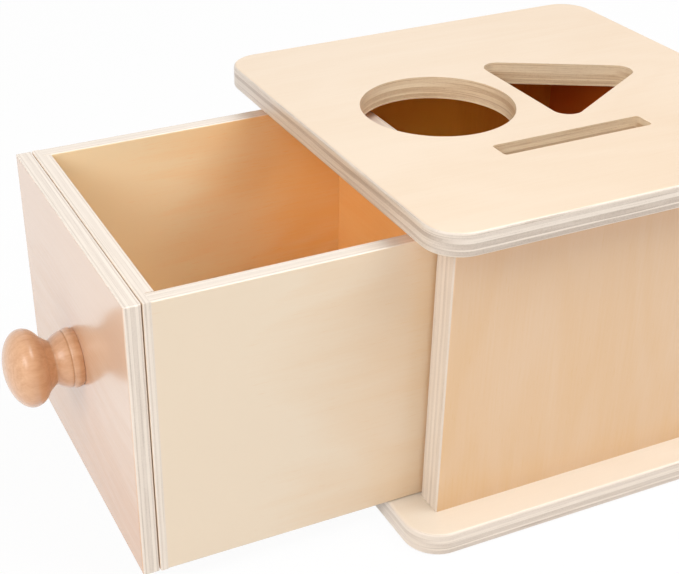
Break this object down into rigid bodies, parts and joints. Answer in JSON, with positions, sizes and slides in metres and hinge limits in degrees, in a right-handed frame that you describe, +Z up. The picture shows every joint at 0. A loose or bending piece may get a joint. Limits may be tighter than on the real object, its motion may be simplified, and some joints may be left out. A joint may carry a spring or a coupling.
{
  "type": "object permanence box",
  "caption": "Plywood toy box whose lid has round, triangular and slot holes, over a sliding drawer with a turned wooden knob.",
  "frame": {"origin": "centre of the base plate's underside", "axes": "+X to the right seen from the drawer's side, +Y from the drawer face to the back wall, +Z up"},
  "size_m": [0.188, 0.3145, 0.1405],
  "materials": {
    "plywood": "clear satin plywood, pale basswood faces",
    "knob_wood": "satin lacquered hardwood",
    "dowel_wood": "bare hardwood",
    "steel": "zinc plated"
  },
  "bodies": {
    "case": {"base_plate": "plywood", "lid_plate": "plywood", "left_wall": "plywood", "right_wall": "plywood", "back_wall": "plywood", "lid_dowels": "dowel_wood", "back_wall_dowels": "dowel_wood", "base_screws": "steel"},
    "drawer": {"drawer_face": "plywood", "drawer_front": "plywood", "drawer_back": "plywood", "drawer_left_side": "plywood", "drawer_right_side": "plywood", "drawer_bottom": "plywood", "drawer_front_brads": "steel", "drawer_back_brads": "steel", "face_screws": "steel", "knob": "knob_wood", "knob_screw": "steel"}
  },
  "joints": [
    {"name": "drawer_slide", "type": "slide", "parent": "case", "child": "drawer", "axis": [0, -1, 0], "range_m": [-0.109, 0.032]}
  ]
}
